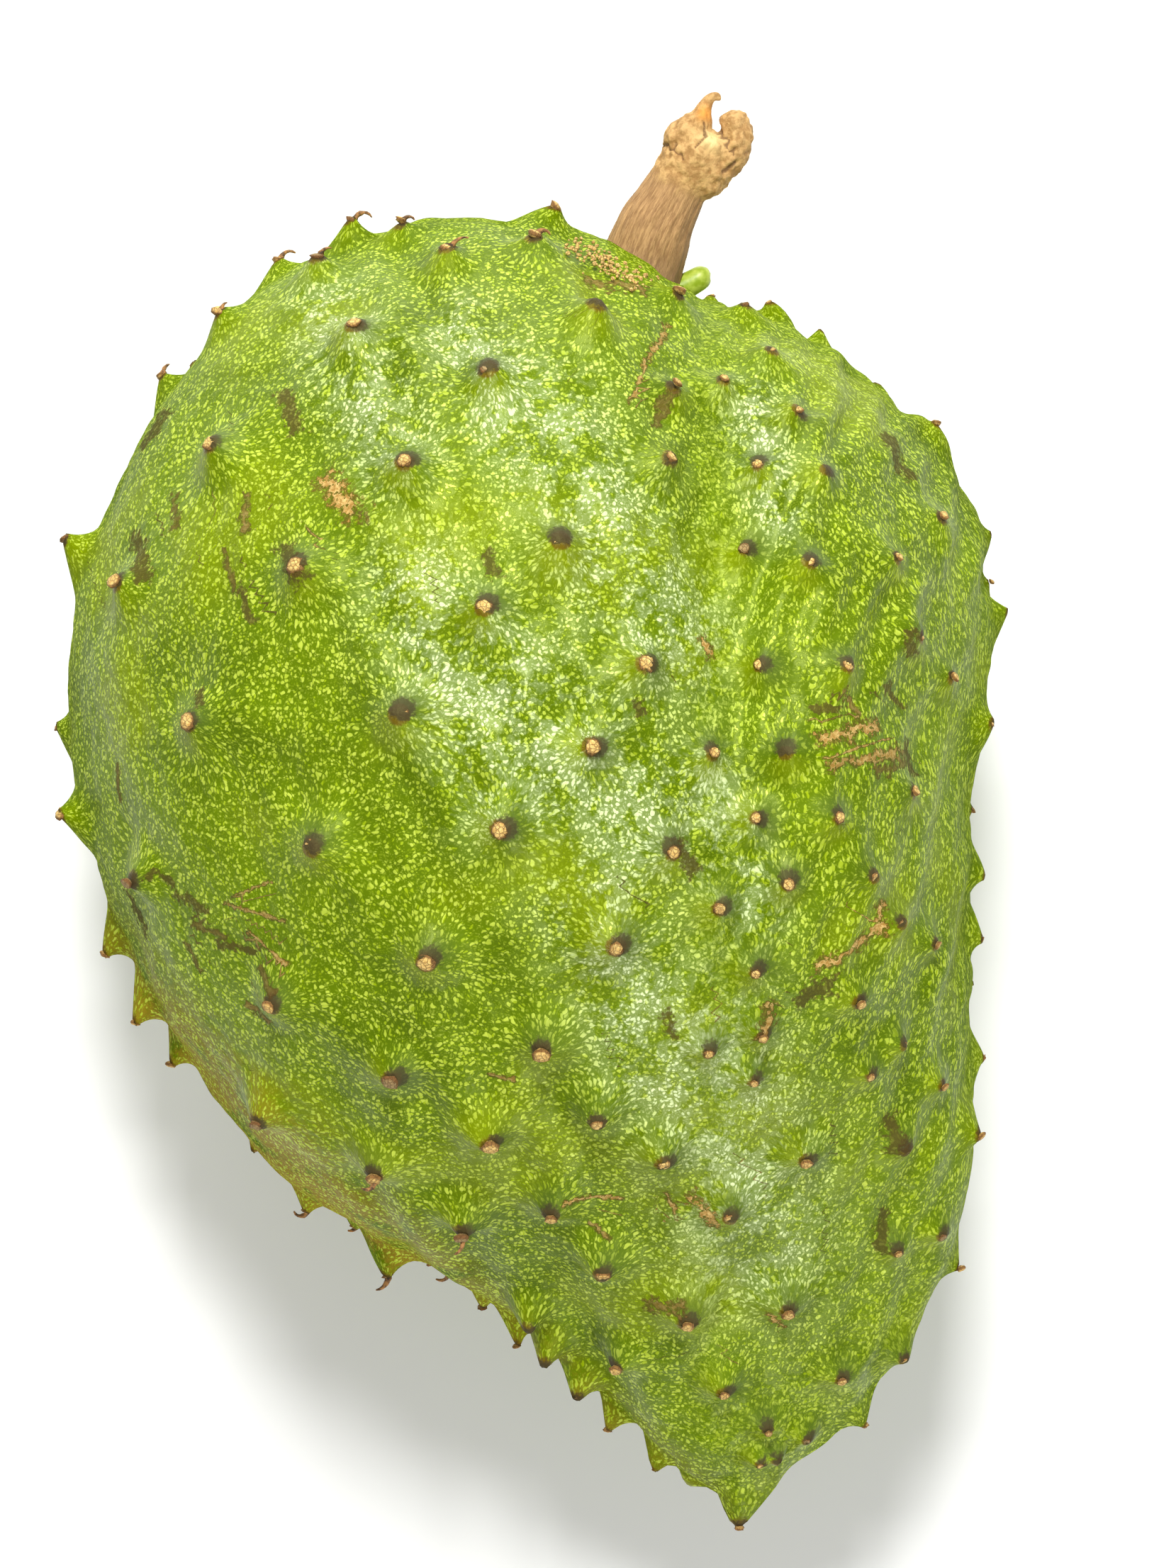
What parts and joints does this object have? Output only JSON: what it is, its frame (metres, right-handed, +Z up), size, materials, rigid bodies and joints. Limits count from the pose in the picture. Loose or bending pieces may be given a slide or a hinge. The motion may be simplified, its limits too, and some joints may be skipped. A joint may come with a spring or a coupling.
{
  "type": "soursop fruit",
  "caption": "Whole soursop lying on its side: a lopsided, heart-shaped green fruit with soft spines, tapering to a point, with its short woody stalk.",
  "frame": {"origin": "middle of the small flat spot on the underside that the fruit rests on", "axes": "+Z up from the surface, +Y towards the stalk end along the fruit's length, +X across it"},
  "size_m": [0.1303, 0.1979, 0.1062],
  "materials": {
    "skin": "fresh yellow-green peel, waxy gloss, pale raised flecks, tan corky spine tips",
    "stalk": "dry brown woody stalk with fine lengthwise fibres, matt"
  },
  "bodies": {
    "root": {"fruit": "skin", "stalk": "stalk"}
  },
  "joints": []
}
